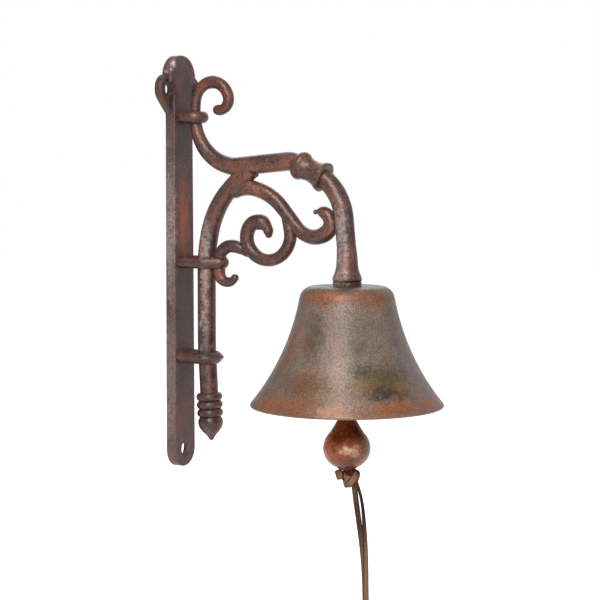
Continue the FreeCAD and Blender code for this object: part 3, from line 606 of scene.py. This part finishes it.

# %% [markdown]
# ## The ball and the steel fittings
# The ball is a casting too, but it is knocked and handled, so its rust is warm and rubbed smooth,
# with a painted highlight in front, a warmer orange at its upper left that partly paints light
# into the lip's shadow, and a dark spot at its neck.
#
# The eye bolt, its nut and washer and the clapper's rod are forged steel, shaded by the bell.
# They look an even, dull dark brown.  They rust as iron does, so the same recipe serves, with a
# fine and shallow grain, because a forging has no print of sand.

# %% Finish the ball
ball_patches = [
    ("#14100e", (BELL_AXIS_X + 11, -6, -209), (9, 9, 9), 1.0),
    ("#6b4c36", (BELL_AXIS_X + 13, -2, -224), (9, 9, 14), 0.9),
    ("#b05724", (BELL_AXIS_X - 10, -12, -220), (10, 10, 12), 0.9),
    # partly a warmer rust, partly painted light in the lip's shadow
    ("#c06a2e", (BELL_AXIS_X - 7, -7, -211), (8, 8, 8), 0.8),
    # painted highlight in front
    ("#b89880", (BELL_AXIS_X + 8, -12, -223), (7, 6, 4), 0.8),
]
ball_iron = cast_iron("weathered_cast_iron_ball", ("#8c4524", "#5c2d1e", "#ab5220"),
                      rust_share=0.9, metallic=0.15, roughness=(0.2, 0.36),
                      patches=ball_patches, grain_depth=0.16, pores=0.5, mottle=0.25)
print("made", ball_iron.name, "with", len(ball_patches), "patches")

# %% Finish the steel fittings
fitting_steel = cast_iron("rusted_forged_steel", ("#4a3a33", "#332925", "#6b3f2c"),
                          rust_share=0.8, metallic=0.3, roughness=(0.4, 0.6), grain=0.8,
                          grain_depth=0.05)
print("made", fitting_steel.name)

# %% [markdown]
# ## Suede
# Suede is the rough side of leather.  Its short nap scatters light, so it looks soft and has no
# gloss, and the cut sides of the strip are darker than its face.  Hairs could be grown on it, but
# at this distance a fine noise in the colour and in the bump looks the same.  Painted shade
# darkens the upper part of each strand, and where the lace is drawn tight in the knot it is
# warmer.

# %% The suede's nap and colour
NAP_SIZE = 0.9                # millimetres; the real nap is finer, but would not show
WEAR_SIZE = 9

suede, tree, shader, place = start_material("suede_leather_lace")
nap = add_node(tree, "TexNoise", {"Vector": place.outputs["Object"], "Scale": per_mm(NAP_SIZE),
                                  "Detail": 3, "Roughness": 0.7})
wear = add_node(tree, "TexNoise", {"Vector": place.outputs["Object"],
                                   "Scale": per_mm(WEAR_SIZE), "Detail": 3})
face = add_node(tree, "Mix", {"Factor": wear.outputs["Fac"], FIRST_COLOUR: linear("#5e4332"),
                              SECOND_COLOUR: linear("#94735a")}, data_type="RGBA")
fuzz = add_node(tree, "Mix", {"Factor": nap.outputs["Fac"], FIRST_COLOUR: linear("#4a301e"),
                              SECOND_COLOUR: face.outputs[MIXED_COLOUR]}, data_type="RGBA")
suede_patches = [
    # painted shade: the upper part of each strand is darkened
    ("#2a190f", (134, 2.5, -270), (6, 5, 40), 1.0),      # the top of each strand
    ("#150c07", (139, -2, -262), (5, 4, 28), 1.0),
    ("#a06a48", (130.4, 0, -242), (9, 9, 5), 0.8),       # the hitch
]
suede_with_painted_shade = fuzz.outputs[MIXED_COLOUR]
for patch_colour, middle, size, strength in suede_patches:
    suede_with_painted_shade = lay_patch(tree, place.outputs["Object"], nap, suede_with_painted_shade, patch_colour, middle, size,
                        strength)
print("suede has", len(suede_patches), "patches")

# %% The suede's cut sides and its skin
# The map's second coordinate runs once round the strip and starts in the middle of a face, so
# its sine is largest, up or down, at the two cut sides.
around = add_node(tree, "SeparateXYZ", {"Vector": place.outputs["UV"]})
angle = add_node(tree, "Math", {0: around.outputs["Y"], 1: 2 * math.pi}, operation="MULTIPLY")
side = add_node(tree, "Math", {0: angle.outputs[0]}, operation="SINE")
side_size = add_node(tree, "Math", {0: side.outputs[0]}, operation="ABSOLUTE")
cut = add_node(tree, "MapRange", {"Value": side_size.outputs[0], "From Min": 0.55,
                                  "From Max": 0.9, "To Max": 0.85})
suede_colour = add_node(tree, "Mix", {"Factor": cut.outputs["Result"], FIRST_COLOUR: suede_with_painted_shade,
                                      SECOND_COLOUR: linear("#20140d")}, data_type="RGBA")
tree.links.new(suede_colour.outputs[MIXED_COLOUR], shader.inputs["Base Color"])
shader.inputs["Roughness"].default_value = 0.9
shader.inputs["Specular IOR Level"].default_value = 0.2
fluff = add_node(tree, "Bump", {"Height": nap.outputs["Fac"], "Distance": 0.2 * MM,
                                "Strength": 0.8})
tree.links.new(fluff.outputs["Normal"], shader.inputs["Normal"])
print("made", suede.name)

# %% Put the finishes on
finishes = {
    plate_iron: ["wall_plate"],
    bracket_iron: ["scroll_bracket", "collar_upper", "collar_middle", "collar_lower",
                   "foot_washer"],
    bell_iron: ["bell"],
    ball_iron: ["clapper_ball"],
    fitting_steel: ["inner_washer", "clamp_nut", "eye_bolt", "clapper_rod"],
}
dressed = {suede: [left_strand, right_strand, hitch, end_knot]}
for finish, names in finishes.items():
    dressed[finish] = [frame["nodes"][node_name] for node_name in names]
for finish, pieces in dressed.items():
    for piece in pieces:
        piece.data.materials.clear()
        piece.data.materials.append(finish)
print("finishes on", sum(len(pieces) for pieces in dressed.values()), "pieces")

# %% [markdown]
# ## Floor and background
# A pale floor lies under the lace, and the background is white.  White could come from more
# light, but that would bleach the iron.  So the floor is an ordinary matt surface for the light,
# and gets a little extra glow only where the camera or a reflection sees it.  It runs into the
# white background without a visible edge and still takes a shadow.

# %% A switch for what is seen
def seen_share(tree):
    """1 for what the camera sees, directly or in a gloss or through glass, and 0 for the light
    that falls on the object."""
    rays = add_node(tree, "LightPath")
    reflected = add_node(tree, "Math", {0: rays.outputs["Is Glossy Ray"],
                                        1: rays.outputs["Is Transmission Ray"]},
                         operation="MAXIMUM")
    seen = add_node(tree, "Math", {0: rays.outputs["Is Camera Ray"], 1: reflected.outputs[0]},
                    operation="MAXIMUM")
    return seen.outputs[0]


print("helper ready: seen_share")

# %% Floor
FLOOR_RADIUS = 6              # metres
FLOOR_DROP = 0.02             # metres below the lowest solid
FLOOR_GLOW = 0.9
WHITE = (1, 1, 1, 1)

bpy.ops.object.select_all(action="DESELECT")
bpy.ops.mesh.primitive_circle_add(radius=FLOOR_RADIUS, vertices=64, fill_type="NGON",
                                  location=(0.1, 0, cad_low.z - FLOOR_DROP))
floor = bpy.context.object
floor.name = "studio_floor"
paper = bpy.data.materials.new("matt_white_paper")
paper.use_nodes = True
tree = paper.node_tree
tree.nodes.clear()
matt = add_node(tree, "BsdfDiffuse", {"Color": linear("#f2f2f2")})
glow = add_node(tree, "Emission", {"Color": WHITE, "Strength": FLOOR_GLOW})
both = add_node(tree, "AddShader", {0: matt.outputs["BSDF"], 1: glow.outputs["Emission"]})
surface = add_node(tree, "MixShader", {0: seen_share(tree), 1: matt.outputs["BSDF"],
                                       2: both.outputs["Shader"]})
add_node(tree, "OutputMaterial", {"Surface": surface.outputs["Shader"]})
floor.data.materials.append(paper)
print("floor at z in mm:", round(floor.location.z / MM))

# %% World
WORLD_LIGHT = 0.12            # what the surroundings give the object, where 1 is white

world = bpy.data.worlds.new("studio_white")
world.use_nodes = True
bpy.context.scene.world = world
tree = world.node_tree
tree.nodes.clear()
dim = add_node(tree, "Background", {"Color": WHITE, "Strength": WORLD_LIGHT})
white = add_node(tree, "Background", {"Color": WHITE, "Strength": 1.0})
surface = add_node(tree, "MixShader", {0: seen_share(tree), 1: dim.outputs["Background"],
                                       2: white.outputs["Background"]})
add_node(tree, "OutputWorld", {"Surface": surface.outputs["Shader"]})
print("world:", world.name)

# %% [markdown]
# ## Lamps
# Four soft boxes light the object.  The key is tall, narrow and high, so that it draws one soft
# light band down the bell and along the round bars.  A small fill near the floor lights the ball,
# which would else hang in the lip's shadow.  The side and back lamps are broad and weak, and keep
# the far sides from going black.

# %% Place the lamps
def softbox(name, place, target, width, height, power):
    """A rectangular area lamp that faces its target.  Sizes are in metres, power is in watts."""
    direction = Vector(target) - Vector(place)
    bpy.ops.object.light_add(type="AREA", location=place,
                             rotation=direction.to_track_quat("-Z", "Y").to_euler())
    lamp = bpy.context.object
    lamp.name = name
    lamp.data.shape = "RECTANGLE"
    lamp.data.size = width
    lamp.data.size_y = height
    lamp.data.energy = power
    return lamp


LIT_PLACE = (0.1, 0, -0.12)   # the bell's shoulder, which every lamp faces
lamps = [
    softbox("key_softbox", (0.45, -1.2, 0.8), LIT_PLACE, 0.35, 1.4, 38),
    softbox("fill_softbox", (1.0, -1.3, -0.2), LIT_PLACE, 0.6, 0.3, 5),
    softbox("side_softbox", (1.3, -0.2, 0.4), LIT_PLACE, 0.9, 0.9, 3),
    softbox("back_softbox", (-0.6, 1.2, 0.8), LIT_PLACE, 0.9, 0.9, 5),
]
bpy.context.scene.view_settings.view_transform = "Standard"
print("lamps:", [lamp.name for lamp in lamps])
